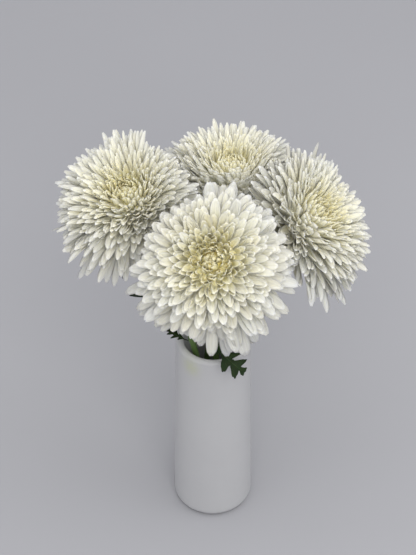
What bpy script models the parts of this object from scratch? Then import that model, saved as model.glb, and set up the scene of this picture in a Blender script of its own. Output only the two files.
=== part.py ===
"""Four large white disbud chrysanthemums standing in a matt ceramic jar.

Metres, +Z up.  The origin is the centre of the jar's flat underside.
-Y is the side towards which the largest bloom faces.
Each bloom is a receptacle (calyx) on a bent stem, four rings of ray florets
and a closed heart.  Each ring of florets is one piece: the florets grow
together at their base and part towards their tips.
"""
import bpy
import math
import numpy as np

for ob in list(bpy.data.objects):
    bpy.data.objects.remove(ob, do_unlink=True)

MM = 0.001

# ---------------------------------------------------------------- jar
JAR_H = 188.0          # overall height
JAR_R_BASE = 32.4      # outer radius just above the foot curve
JAR_R_TOP = 30.0       # outer radius just below the lip
JAR_WALL = 6.3         # wall and lip width
JAR_FLOOR = 7.0        # thickness of the bottom
JAR_FOOT_R = 7.0       # radius of the outer foot curve
JAR_LIP_R = 3.0        # rounding of the lip, outside and inside
JAR_IN_FILLET = 6.0    # rounding between inner wall and floor
JAR_SEG = 40

# ---------------------------------------------------------------- stems
STEM_R = 2.5
STEM_SIDES = 9
STEM_RINGS = 17
CALYX_DEPTH = 9.5      # from the floret base down to the stem's end

# ---------------------------------------------------------------- florets
T_MID = 1.15           # thickness in the middle of a floret ring
RINGS = (              # name, ring position w (0 outer .. 1 centre), florets
    ("outer", 0.00, 26),
    ("middle", 0.27, 22),
    ("upper", 0.52, 18),
    ("inner", 0.76, 12),
)

# name: receptacle point, axis, bloom radius, bloom height, stem foot,
#       stem point at the mouth, droops (world direction, strength, spread)
BLOOMS = {
    "front": dict(c=(-0.2, -12.5, 280.5), a=(-0.02, -0.64, 0.77), R=56.0, h=40.0, low=-8.0,
                  foot=(8.0, -13.0, 10.5), mouth=(1.5, -3.0, 190.0),
                  droops=(((0.2, -0.4, -1.0), 0.55, 0.5, 0.50), ((-0.9, -0.1, -0.5), 0.30, 0.4, 0.6),
                          ((1.0, -0.1, -0.6), 0.30, 0.5, 0.6)), lifts=()),
    "left": dict(c=(-60.5, 57.0, 272.5), a=(-0.27, -0.24, 0.93), R=58.5, h=34.0, low=2.0,
                 foot=(15.0, 4.0, 10.5), mouth=(-15.5, -12.0, 190.0),
                 droops=(((-0.3, -1.0, 0.0), 0.50, 0.45, 0.10),),
                 lifts=(((0.1, 1.0, 0.0), 0.36, 1.1),)),
    "right": dict(c=(62.0, 56.0, 250.5), a=(0.67, -0.12, 0.73), R=60.0, h=37.0, low=5.0,
                  foot=(-15.0, 8.0, 10.5), mouth=(17.0, 8.0, 190.0),
                  droops=(((1.0, -0.30, -0.9), 0.40, 0.45, 0.15),),
                  lifts=(((0.1, 1.0, 0.1), 0.26, 1.0),)),
    "back": dict(c=(14.0, 87.0, 260.0), a=(0.02, 0.12, 0.99), R=57.0, h=36.0, low=12.0,
                 foot=(-14.0, -8.0, 10.5), mouth=(-2.0, 19.2, 190.0),
                 droops=(), lifts=(((0.0, 1.0, 0.0), 0.45, 1.2),)),
}
# neighbours: the two blooms share the gap between them at this fraction, and
# the dividing plane leans by so many millimetres towards the far side
PAIRS = (("front", "left", 0.55, 36.0), ("front", "right", 0.51, 28.0),
         ("front", "back", 0.58, 26.0), ("left", "back", 0.53, 50.0),
         ("right", "back", 0.53, 50.0), ("left", "right", 0.50, 0.0))
DOME = 18.0            # height of a bloom's middle above its receptacle
KEEP_GAP = 0.9         # florets stay this far on their own side of a plane
KEEP_SOFT = 11.0       # and start to crowd up this far before it
ORDER = ("front", "left", "right", "back")

# leaves: stem, height of the joint, path bend point, tip, half width
LEAVES = {
    "rim": dict(stem="front", z=201.0, mid=(2.0, -34.0, 203.0), tip=(25.0, -37.0, 186.0), w=11.5),
    "low_left": dict(stem="left", z=206.0, mid=(-42.0, 10.0, 214.0), tip=(-66.0, 32.0, 212.0), w=11.0),
    "gap_left": dict(stem="left", z=234.0, mid=(-60.0, 34.0, 242.0), tip=(-75.0, 30.0, 229.0), w=11.0),
    "mouth_left": dict(stem="left", z=197.0, mid=(-27.0, -10.0, 197.0), tip=(-36.0, -6.0, 202.0), w=7.0),
    "mouth_right": dict(stem="right", z=198.0, mid=(26.0, -2.0, 201.0), tip=(32.0, -12.0, 203.0), w=7.5),
    "back": dict(stem="back", z=222.0, mid=(-6.0, 76.0, 232.0), tip=(-24.0, 104.0, 222.0), w=12.0),
    "right_back": dict(stem="right", z=210.0, mid=(24.0, 44.0, 220.0), tip=(24.0, 74.0, 210.0), w=11.0),
    "left_back": dict(stem="left", z=222.0, mid=(-22.0, 46.0, 246.0), tip=(-30.0, 78.0, 240.0), w=12.0),
}


def unit(v):
    v = np.asarray(v, float)
    return v / np.linalg.norm(v)


def smooth(x):
    x = min(1.0, max(0.0, x))
    return x * x * (3 - 2 * x)


def wave(i, k):
    """Small repeatable variation between -1 and 1 for floret i, channel k."""
    return math.sin(12.9898 * (i + 1) + 78.233 * (k + 1) + 4.1 * math.sin(3.7 * i + k))


# ---------------------------------------------------------------- bloom field
class Bloom:
    """Places a floret point from (ring position w, azimuth, distance s)."""
    def __init__(self, name, d):
        self.name = name
        self.c = np.array(d["c"], float)
        self.a = unit(d["a"])
        side = np.cross((0.0, 1.0, 0.0), self.a)
        self.bx = unit(side)
        self.by = np.cross(self.a, self.bx)
        self.R = d["R"]
        self.h = d["h"]
        self.low = d["low"]
        self.droops = []
        for v, strength, spread, extra in d["droops"]:
            v = np.array(v, float)
            self.droops.append((math.atan2(v @ self.by, v @ self.bx), strength, spread, extra))
        self.planes = []
        self.press = np.zeros(36)
        self.trim = np.ones(36)
        self.lift = np.zeros(36)
        for v, strength, spread in d["lifts"]:
            v = np.array(v, float)
            p = math.atan2(v @ self.by, v @ self.bx)
            for i in range(36):
                dphi = (2 * math.pi * i / 36 - p + math.pi) % (2 * math.pi) - math.pi
                self.lift[i] += strength * math.exp(-(dphi / spread) ** 2)

    def around(self, table, phi):
        n = len(table)
        x = (phi / (2 * math.pi) % 1.0) * n
        i = int(math.floor(x)) % n
        f = x - math.floor(x)
        return table[i] * (1 - f) + table[(i + 1) % n] * f

    def raised(self, phi):
        """How far neighbours push the florets upright at this azimuth, 0..1."""
        return self.around(self.press, phi)

    def droop(self, phi):
        out, longer = 0.0, 0.0
        for p, strength, spread, extra in self.droops:
            dphi = (phi - p + math.pi) % (2 * math.pi) - math.pi
            g = strength * math.exp(-(dphi / spread) ** 2)
            out += g
            longer += g * extra
        return min(out, 1.0), longer

    def point(self, w, phi, s, lift=0.0, dang=0.0, dlen=1.0, press=None, trim=None, raw=False):
        """World point.  lift is along the floret's own normal."""
        t = self.raised(phi) if press is None else press
        cut = self.around(self.trim, phi) if trim is None else trim
        dlen = dlen * (1 - (1 - cut) * max(0.0, 1 - w / 0.9))
        r0, z0 = 7.0 - 4.6 * w, 9.0 * w
        ang = self.low + (80.0 - self.low) * w ** 1.08 + 12.0 * smooth((w - 0.75) / 0.25)
        fill = 2 * (w - 0.5) if w > 0.5 else 0.0
        length = (self.R * (1 - 0.13 * w) * (1 - fill) + (self.h - z0) * fill) * dlen
        dr, longer = self.droop(phi)
        ang -= 42.0 * dr * (1 - t) * max(0.0, 1 - w / 0.45) ** 1.3
        length *= 1 + longer * (1 - t) * max(0.0, 1 - w / 0.4)
        ang += dang
        ang += (0.8 - 0.35 * (1 - t)) * 8.0 * math.log1p(math.exp((120.0 * t - 40.0 - ang) / 8.0))
        bend = (18.0 - 34.0 * w) * (1 - 0.6 * t)
        a1 = math.radians(ang + bend)
        a2 = math.radians(ang)
        p0 = np.array((r0, z0))
        p1 = p0 + 0.52 * length * np.array((math.cos(a1), math.sin(a1)))
        p2 = p0 + length * np.array((math.cos(a2), math.sin(a2)))
        q = p0 * (1 - s) ** 2 + p1 * 2 * s * (1 - s) + p2 * s * s
        tg = (p1 - p0) * 2 * (1 - s) + (p2 - p1) * 2 * s
        tg = tg / np.linalg.norm(tg)
        nrm = np.array((-tg[1], tg[0]))
        q = q + nrm * lift
        e = math.cos(phi) * self.bx + math.sin(phi) * self.by
        p = self.c + e * q[0] + self.a * q[1]
        return p if raw else self.crowd(p)

    def crowd(self, p):
        """Points near a dividing plane crowd up before it, never crossing."""
        for o, n in self.planes:
            d = float((p - o) @ n)
            if d < KEEP_SOFT:
                room = KEEP_SOFT - KEEP_GAP
                p = p + n * (KEEP_GAP + room * math.exp((d - KEEP_SOFT) / room) - d)
        return p


def share_space(blooms):
    """Dividing planes between neighbouring blooms; normals face the owner."""
    for one, two, part, lean in PAIRS:
        m1 = blooms[one].c + blooms[one].a * DOME
        m2 = blooms[two].c + blooms[two].a * DOME
        o = m1 + (m2 - m1) * part
        n = unit(m2 - m1 + lean * unit((0.0, 1.0, -1.0)))
        blooms[one].planes.append((o, -n))
        blooms[two].planes.append((o, n))


def core_points(b, d):
    """Points round the receptacle and the bent stem below it."""
    pts = []
    for x in np.linspace(0.62, 1.0, 26):
        pts.append(stem_curve(b, d, x))
    for z in (-7.0, -2.0, 3.0, 8.0, 14.0):
        for i in range(10):
            e = math.cos(0.628 * i) * b.bx + math.sin(0.628 * i) * b.by
            pts.append(b.c + b.a * z + e * 9.0)
    return np.array(pts)


def jar_points():
    pts = []
    for r in (JAR_R_TOP, JAR_R_TOP - JAR_WALL):
        for z in (JAR_H - 30.0, JAR_H - 20.0, JAR_H - 10.0, JAR_H):
            for i in range(48):
                a = 2 * math.pi * i / 48
                pts.append((r * math.cos(a), r * math.sin(a), z))
    return np.array(pts)


def settle(blooms):
    """Raise or shorten the florets of each bloom where the jar, another stem
    or the next bloom's space is in the way; this fades out sideways."""
    for name in ORDER:
        b = blooms[name]
        hard = np.vstack([jar_points()] + [core_points(blooms[o], BLOOMS[o]) for o in ORDER if o != name])
        n = len(b.press)
        for i in range(n):
            phi = 2 * math.pi * i / n
            best = (9e9, PRESS_MAX, 0.6)
            for t in np.linspace(b.lift[i], PRESS_MAX, 15):
                for cut in (1.0, 0.92, 0.84, 0.76, 0.68, 0.6):
                    cost = (3.0 if name == "front" else 1.0) * t * t + STIFF[name] * (1 - cut)
                    if cost >= best[0]:
                        continue
                    cand = np.array([b.point(w, phi, s, press=t, trim=cut, raw=True)
                                     for w in (0.0, 0.27, 0.52)
                                     for s in (0.25, 0.4, 0.55, 0.7, 0.85, 1.03)])
                    gap = np.linalg.norm(cand[:, None, :] - hard[None, :, :], axis=2)
                    cost += 3.0 * max(0.0, CLEAR_HARD - np.min(gap))
                    for o, nn in b.planes:
                        over = max(0.0, CLEAR - float(np.min((cand - o) @ nn)))
                        cost += 0.02 * over + 0.003 * over * over
                    if cost < best[0]:
                        best = (cost, t, cut)
            b.press[i], b.trim[i] = best[1], best[2]
        b.press = np.array([max(b.press[(i + j) % n] - FADE * max(0, abs(j) - 1)
                                for j in range(-12, 13)) for i in range(n)])
        b.trim = np.array([min(b.trim[(i + j) % n] for j in (-1, 0, 1)) for i in range(n)])


CLEAR_HARD = 8.5       # florets to another stem, receptacle or the jar
CLEAR = -1.0           # allowed reach past a dividing plane before crowding
FADE = 0.17            # sideways fading of a raised zone, per ten degrees
PRESS_MAX = 1.0
STIFF = {"front": 0.8, "left": 0.7, "right": 0.9, "back": 0.9}


# ---------------------------------------------------------------- mesh making
def make(name, verts, faces, color, rough, smooth_faces=True):
    me = bpy.data.meshes.new(name)
    me.from_pydata([tuple(float(x) * MM for x in v) for v in verts], [], faces)
    me.update()
    ob = bpy.data.objects.new(name, me)
    bpy.context.scene.collection.objects.link(ob)
    mat = bpy.data.materials.new(name)
    mat.use_nodes = True
    bsdf = mat.node_tree.nodes["Principled BSDF"]
    bsdf.inputs["Base Color"].default_value = (*color, 1.0)
    bsdf.inputs["Roughness"].default_value = rough
    bsdf.inputs["Metallic"].default_value = 0.0
    me.materials.append(mat)
    for p in me.polygons:
        p.use_smooth = smooth_faces
    return ob


def lathe(profile, seg, frame=None, lobes=0, lobe_depth=0.0):
    """Closed solid of revolution; profile runs from the bottom axis point
    round the section to the top axis point, both on the axis."""
    o, ex, ey, ez = frame if frame else (np.zeros(3), np.array((1.0, 0, 0)),
                                         np.array((0, 1.0, 0)), np.array((0, 0, 1.0)))
    verts = [o + ez * profile[0][1]]
    rows = []
    for r, z in profile[1:-1]:
        row = []
        for i in range(seg):
            a = 2 * math.pi * i / seg
            rr = r * (1 + lobe_depth * math.cos(lobes * a)) if lobes else r
            row.append(len(verts))
            verts.append(o + ex * rr * math.cos(a) + ey * rr * math.sin(a) + ez * z)
        rows.append(row)
    top = len(verts)
    verts.append(o + ez * profile[-1][1])
    faces = []
    for i in range(seg):
        j = (i + 1) % seg
        faces.append((0, rows[0][j], rows[0][i]))
        for a, b in zip(rows, rows[1:]):
            faces.append((a[i], a[j], b[j]))
            faces.append((a[i], b[j], b[i]))
        faces.append((rows[-1][i], rows[-1][j], top))
    return verts, faces


def arc(cx, cz, r, a0, a1, n):
    return [(cx + r * math.cos(math.radians(a0 + (a1 - a0) * i / n)),
             cz + r * math.sin(math.radians(a0 + (a1 - a0) * i / n))) for i in range(n + 1)]


# ---------------------------------------------------------------- jar
def build_jar():
    ri_top = JAR_R_TOP - JAR_WALL
    ri_base = JAR_R_BASE - JAR_WALL
    prof = [(0.0, 0.0), (JAR_R_BASE - JAR_FOOT_R - 1.0, 0.0)]
    prof += arc(JAR_R_BASE - JAR_FOOT_R, JAR_FOOT_R, JAR_FOOT_R, -90, 0, 5)
    prof += [(0.5 * (JAR_R_BASE + JAR_R_TOP) + 0.1, JAR_H * 0.5)]
    prof += arc(JAR_R_TOP - JAR_LIP_R, JAR_H - JAR_LIP_R, JAR_LIP_R, 0, 90, 4)
    prof += arc(ri_top + JAR_LIP_R, JAR_H - JAR_LIP_R, JAR_LIP_R, 90, 180, 4)
    prof += arc(ri_base - JAR_IN_FILLET, JAR_FLOOR + JAR_IN_FILLET, JAR_IN_FILLET, 0, -90, 4)
    prof += [(0.0, JAR_FLOOR)]
    v, f = lathe(prof, JAR_SEG)
    make("jar", v, f, (0.80, 0.80, 0.80), 0.55)


# ---------------------------------------------------------------- stems
def stem_curve(b, d, u):
    """u 0..1: foot to mouth is nearly straight, then it bends to the bloom."""
    foot = np.array(d["foot"])
    mouth = np.array(d["mouth"])
    end = b.c - b.a * (CALYX_DEPTH + 0.5)
    split = 0.62
    rise = unit(mouth - foot)
    reach = np.linalg.norm(end - mouth)
    if u < split:
        return foot + (mouth - foot) * (u / split)
    x = (u - split) / (1 - split)
    m0 = rise * reach * 1.0
    m1 = b.a * reach * 1.05
    return ((2 * x ** 3 - 3 * x ** 2 + 1) * mouth + (x ** 3 - 2 * x ** 2 + x) * m0
            + (-2 * x ** 3 + 3 * x ** 2) * end + (x ** 3 - x ** 2) * m1)


def tube(path, radii, sides):
    path = [np.asarray(p) for p in path]
    verts, rows = [], []
    ref = np.array((1.0, 0.0, 0.0))
    for i, p in enumerate(path):
        t = unit(path[min(i + 1, len(path) - 1)] - path[max(i - 1, 0)])
        n = unit(ref - t * (ref @ t))
        ref = n
        b = np.cross(t, n)
        row = []
        for k in range(sides):
            a = 2 * math.pi * k / sides
            row.append(len(verts))
            verts.append(p + radii[i] * (math.cos(a) * n + math.sin(a) * b))
        rows.append(row)
    faces = []
    for a, b in zip(rows, rows[1:]):
        for k in range(sides):
            j = (k + 1) % sides
            faces.append((a[k], a[j], b[j]))
            faces.append((a[k], b[j], b[k]))
    faces.append(tuple(reversed(rows[0])))
    faces.append(tuple(rows[-1]))
    return verts, faces


def build_stem(b, d):
    us = [0.0, 0.2, 0.42, 0.6] + [0.62 + 0.38 * (i + 1) / 13 for i in range(13)]
    path = [stem_curve(b, d, u) for u in us]
    radii = [STEM_R * (1.04 - 0.10 * u) for u in us]
    v, f = tube(path, radii, STEM_SIDES)
    make("stem_" + b.name, v, f, (0.20, 0.33, 0.10), 0.6)


def build_calyx(b):
    k = b.R / 64.0
    prof = [(0.0, -CALYX_DEPTH), (2.5, -CALYX_DEPTH + 0.1), (3.4, -CALYX_DEPTH + 1.6),
            (6.6 * k, -5.2), (8.6 * k, -2.6), (8.2 * k, -1.35), (0.0, -1.35)]
    v, f = lathe(prof, 16, (b.c, b.bx, b.by, b.a), lobes=8, lobe_depth=0.035)
    make("calyx_" + b.name, v, f, (0.24, 0.36, 0.12), 0.7)


# ---------------------------------------------------------------- floret rings
def build_ring(b, label, w, count, index):
    """One closed piece: a small disc whose rim parts into channelled florets.
    Each floret is a blade with thin edges, a sunk middle and a blunt tip."""
    verts, faces = [], []

    def add(p):
        verts.append(p)
        return len(verts) - 1

    pitch = 2 * math.pi / count
    turn = 0.5 * pitch * (index % 2) + 0.13 * index
    half = T_MID / 2
    z0 = 9.0 * w
    top_c = add(b.c + b.a * (z0 + half))
    bot_c = add(b.c + b.a * (z0 - half))
    s_ring, s_split = 0.0, 0.10
    rim = {}
    for j in range(2 * count):
        phi = turn + j * pitch / 2
        for key, s in (("a", s_ring), ("b", s_split)):
            up = 0.25 if (key == "b" and j % 2 == 0) else 0.0
            rim[j, key, 1] = add(b.point(w, phi, s, lift=half + up))
            rim[j, key, 0] = add(b.point(w, phi, s, lift=-half + up))
    n2 = 2 * count
    for j in range(n2):
        k = (j + 1) % n2
        faces.append((top_c, rim[j, "a", 1], rim[k, "a", 1]))
        faces.append((bot_c, rim[k, "a", 0], rim[j, "a", 0]))
        for side, order in ((1, 1), (0, -1)):
            q = (rim[j, "a", side], rim[j, "b", side], rim[k, "b", side], rim[k, "a", side])
            faces.append(q if order == 1 else tuple(reversed(q)))
    # blades: even j are shared edges between florets, odd j their middles
    rows_s = (0.52, 0.92)
    width = (0.86, 0.66) if w < 0.7 else (0.80, 0.62)
    depth = (1.3, 1.7)
    for i in range(count):
        jl, jm, jr = 2 * i, 2 * i + 1, (2 * i + 2) % n2
        pc = turn + (2 * i + 1) * pitch / 2
        dang = 2.0 * wave(i, index) * (1 - b.raised(pc))
        dlen = 1 + 0.05 * wave(i, index + 9)
        prev = (rim[jl, "b", 1], rim[jl, "b", 0], rim[jm, "b", 1], rim[jm, "b", 0],
                rim[jr, "b", 1], rim[jr, "b", 0])
        rows = []
        for s, wd, dp in zip(rows_s, width, depth):
            hw = wd * pitch / 2
            kk = b.R / 64.0
            le = add(b.point(w, pc - hw, s, lift=dp * kk * 0.6, dang=dang, dlen=dlen))
            re = add(b.point(w, pc + hw, s, lift=dp * kk * 0.6, dang=dang, dlen=dlen))
            mt = add(b.point(w, pc, s, lift=half - dp * kk * 0.4, dang=dang, dlen=dlen))
            mb = add(b.point(w, pc, s, lift=-half - dp * kk * 0.4, dang=dang, dlen=dlen))
            rows.append((le, mt, re, mb))
        tip = add(b.point(w, pc, 1.0, lift=0.5, dang=dang, dlen=dlen))
        lt, lb, mt, mb, rt, rb = prev
        l1, t1, r1, b1 = rows[0]
        faces += [(lt, l1, t1, mt), (mt, t1, r1, rt),
                  (mb, b1, l1, lb), (rb, r1, b1, mb),
                  (lt, lb, l1), (rt, r1, rb)]
        for (l0, t0, r0, b0), (l1, t1, r1, b1) in zip(rows, rows[1:]):
            faces += [(l0, l1, t1, t0), (t0, t1, r1, r0),
                      (b0, b1, l1, l0), (r0, r1, b1, b0)]
        l0, t0, r0, b0 = rows[-1]
        faces += [(l0, tip, t0), (t0, tip, r0), (b0, tip, l0), (r0, tip, b0)]
    shade = {"outer": (0.86, 0.86, 0.82), "middle": (0.88, 0.87, 0.78),
             "upper": (0.88, 0.86, 0.70), "inner": (0.87, 0.83, 0.58)}[label]
    make("petals_%s_%s" % (label, b.name), verts, faces, shade, 0.6)


def build_heart(b):
    """Closed bud of incurved young florets on a narrow foot."""
    k = b.h / 50.0
    prof = [(0.0, 9.0), (1.7, 9.0), (2.2, 16.0 * k), (4.6 * k, 27.0 * k), (7.6 * k, 36.0 * k),
            (8.4 * k, 41.0 * k), (6.8 * k, 45.0 * k), (3.6 * k, 47.4 * k), (0.0, 48.2 * k)]
    v, f = lathe(prof, 20, (b.c, b.bx, b.by, b.a), lobes=10, lobe_depth=0.07)
    make("heart_" + b.name, v, f, (0.86, 0.76, 0.36), 0.65)


# ---------------------------------------------------------------- leaves
def build_leaf(name, d, b, bd):
    """Lobed blade on a short stalk that starts beside its stem."""
    best = min((stem_curve(b, bd, u / 400.0) for u in range(401)),
               key=lambda p: abs(p[2] - d["z"]))
    mid, tip = np.array(d["mid"]), np.array(d["tip"])
    near = min((stem_curve(b, bd, u / 400.0) for u in range(401)),
               key=lambda p: abs(p[2] - d["z"] - 2.0))
    run = unit(near - best)
    out = mid - best
    out = unit(out - run * (out @ run))
    start = best + out * (STEM_R + 1.3)
    verts, rows = [], []
    lobes = ((0.0, 0.9), (0.12, 0.9), (0.22, 1.3), (0.32, 5.2), (0.41, 3.4), (0.52, 9.4),
             (0.61, 5.6), (0.72, 10.0), (0.80, 5.2), (0.90, 5.6))
    scale = d["w"] / 10.0
    for s, hw in lobes:
        p = start * (1 - s) ** 2 + mid * 2 * s * (1 - s) + tip * s * s
        tg = unit((mid - start) * 2 * (1 - s) + (tip - mid) * 2 * s)
        if not rows:
            side = np.cross(tg, (0.0, 0.0, 1.0))
        side = unit(side - tg * (side @ tg))
        nrm = np.cross(side, tg)
        hw = hw * (scale if s > 0.25 else 1.0)
        th = 0.75 if s < 0.25 else 0.45
        fwd = tg * (hw * 0.25 if s > 0.25 else 0.0)
        row = []
        for q in (p - side * hw + nrm * 0.10 * hw + fwd, p + nrm * th,
                  p + side * hw + nrm * 0.10 * hw + fwd, p - nrm * th):
            row.append(len(verts))
            verts.append(q)
        rows.append(row)
    end = len(verts)
    verts.append(tip)
    faces = [tuple(reversed(rows[0]))]
    for a, c in zip(rows, rows[1:]):
        for k in range(4):
            j = (k + 1) % 4
            faces.append((a[j], c[j], c[k], a[k]))
    for k in range(4):
        faces.append((rows[-1][(k + 1) % 4], end, rows[-1][k]))
    ob = make("leaf_" + name, verts, faces, (0.05, 0.10, 0.035), 0.55, smooth_faces=False)
    return ob


# ---------------------------------------------------------------- build
BL = {n: Bloom(n, BLOOMS[n]) for n in ORDER}
share_space(BL)
settle(BL)
build_jar()
for n in ORDER:
    b, d = BL[n], BLOOMS[n]
    build_stem(b, d)
    build_calyx(b)
    for i, (label, w, count) in enumerate(RINGS):
        build_ring(b, label, w, count, i)
    build_heart(b)
for n, d in LEAVES.items():
    build_leaf(n, d, BL[d["stem"]], BLOOMS[d["stem"]])
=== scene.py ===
import bpy
import math
import numpy as np
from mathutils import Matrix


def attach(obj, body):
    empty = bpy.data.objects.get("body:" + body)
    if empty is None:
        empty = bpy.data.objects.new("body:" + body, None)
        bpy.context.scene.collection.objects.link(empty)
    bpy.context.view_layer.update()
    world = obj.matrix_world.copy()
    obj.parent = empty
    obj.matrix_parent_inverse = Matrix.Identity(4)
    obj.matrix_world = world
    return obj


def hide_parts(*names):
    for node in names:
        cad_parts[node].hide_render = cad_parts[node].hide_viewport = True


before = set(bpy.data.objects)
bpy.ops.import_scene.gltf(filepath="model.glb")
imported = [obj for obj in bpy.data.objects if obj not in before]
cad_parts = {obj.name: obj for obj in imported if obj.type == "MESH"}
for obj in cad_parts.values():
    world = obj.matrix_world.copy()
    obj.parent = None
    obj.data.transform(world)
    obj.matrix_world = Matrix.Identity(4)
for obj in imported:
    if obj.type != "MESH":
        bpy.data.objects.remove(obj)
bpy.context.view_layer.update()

MM = 0.001

# =====================================================================
# the same bloom field as the CAD, in millimetres
# =====================================================================
BLOOMS = {
    "front": dict(c=(-0.2, -12.5, 280.5), a=(-0.02, -0.64, 0.77), R=56.0, h=40.0, low=-8.0,
                  foot=(8.0, -13.0, 10.5), mouth=(1.5, -3.0, 190.0), seed=11, n=1.0, slim=1.0,
                  shorts=(((-0.18, -0.755, -0.627), 0.13),),
                  droops=(((0.2, -0.4, -1.0), 0.55, 0.5, 0.50), ((-0.9, -0.1, -0.5), 0.30, 0.4, 0.6),
                          ((1.0, -0.1, -0.6), 0.30, 0.5, 0.6)), lifts=()),
    "left": dict(c=(-60.5, 57.0, 272.5), a=(-0.27, -0.24, 0.93), R=58.5, h=34.0, low=2.0,
                 foot=(15.0, 4.0, 10.5), mouth=(-15.5, -12.0, 190.0), seed=23, n=1.42, slim=0.73,
                 droops=(((-0.3, -1.0, 0.0), 0.50, 0.45, 0.10),),
                 lifts=(((0.1, 1.0, 0.0), 0.36, 1.1),)),
    "right": dict(c=(62.0, 56.0, 250.5), a=(0.67, -0.12, 0.73), R=60.0, h=37.0, low=5.0,
                  foot=(-15.0, 8.0, 10.5), mouth=(17.0, 8.0, 190.0), seed=37, n=1.36, slim=0.77,
                  droops=(((1.0, -0.30, -0.9), 0.40, 0.45, 0.15),),
                  lifts=(((0.1, 1.0, 0.1), 0.26, 1.0),)),
    "back": dict(c=(14.0, 87.0, 260.0), a=(0.02, 0.12, 0.99), R=57.0, h=36.0, low=12.0,
                 foot=(-14.0, -8.0, 10.5), mouth=(-2.0, 19.2, 190.0), seed=53, n=1.34, slim=0.75,
                 droops=(), lifts=(((0.0, 1.0, 0.0), 0.45, 1.2),)),
}
# neighbours: the two blooms share the gap between them at this fraction, and
# the dividing plane leans by so many millimetres towards the far side
PAIRS = (("front", "left", 0.55, 36.0), ("front", "right", 0.51, 28.0),
         ("front", "back", 0.58, 26.0), ("left", "back", 0.53, 50.0),
         ("right", "back", 0.53, 50.0), ("left", "right", 0.50, 0.0))
DOME = 18.0            # height of a bloom's middle above its receptacle
KEEP_GAP = 0.9         # florets stay this far on their own side of a plane
KEEP_SOFT = 11.0       # and start to crowd up this far before it
ORDER = ("front", "left", "right", "back")
CLEAR_HARD = 8.5       # florets to another stem, receptacle or the jar
CLEAR = -1.0           # allowed reach past a dividing plane before crowding
FADE = 0.17            # sideways fading of a raised zone, per ten degrees
PRESS_MAX = 1.0
STIFF = {"front": 0.8, "left": 0.7, "right": 0.9, "back": 0.9}
STEM_R = 2.5
CALYX_DEPTH = 9.5
JAR_H, JAR_R_BASE, JAR_R_TOP = 188.0, 32.4, 30.0
JAR_WALL, JAR_FLOOR, JAR_FOOT_R, JAR_LIP_R, JAR_IN_FILLET = 6.3, 7.0, 7.0, 3.0, 6.0

LEAVES = {
    "rim": dict(stem="front", z=201.0, mid=(2.0, -34.0, 203.0), tip=(25.0, -37.0, 186.0), w=11.5),
    "low_left": dict(stem="left", z=206.0, mid=(-42.0, 10.0, 214.0), tip=(-66.0, 32.0, 212.0), w=11.0),
    "gap_left": dict(stem="left", z=234.0, mid=(-60.0, 34.0, 242.0), tip=(-75.0, 30.0, 229.0), w=11.0),
    "mouth_left": dict(stem="left", z=197.0, mid=(-27.0, -10.0, 197.0), tip=(-36.0, -6.0, 202.0), w=7.0),
    "mouth_right": dict(stem="right", z=198.0, mid=(26.0, -2.0, 201.0), tip=(32.0, -12.0, 203.0), w=7.5),
    "back": dict(stem="back", z=222.0, mid=(-6.0, 76.0, 232.0), tip=(-24.0, 104.0, 222.0), w=12.0),
    "right_back": dict(stem="right", z=210.0, mid=(24.0, 44.0, 220.0), tip=(24.0, 74.0, 210.0), w=11.0),
    "left_back": dict(stem="left", z=222.0, mid=(-22.0, 46.0, 246.0), tip=(-30.0, 78.0, 240.0), w=12.0),
}


def unit(v):
    v = np.asarray(v, float)
    return v / np.linalg.norm(v)


def norm_rows(v):
    return v / np.maximum(np.linalg.norm(v, axis=-1, keepdims=True), 1e-9)


def smoothstep(a, b, x):
    t = np.clip((x - a) / (b - a), 0, 1)
    return t * t * (3 - 2 * t)


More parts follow.
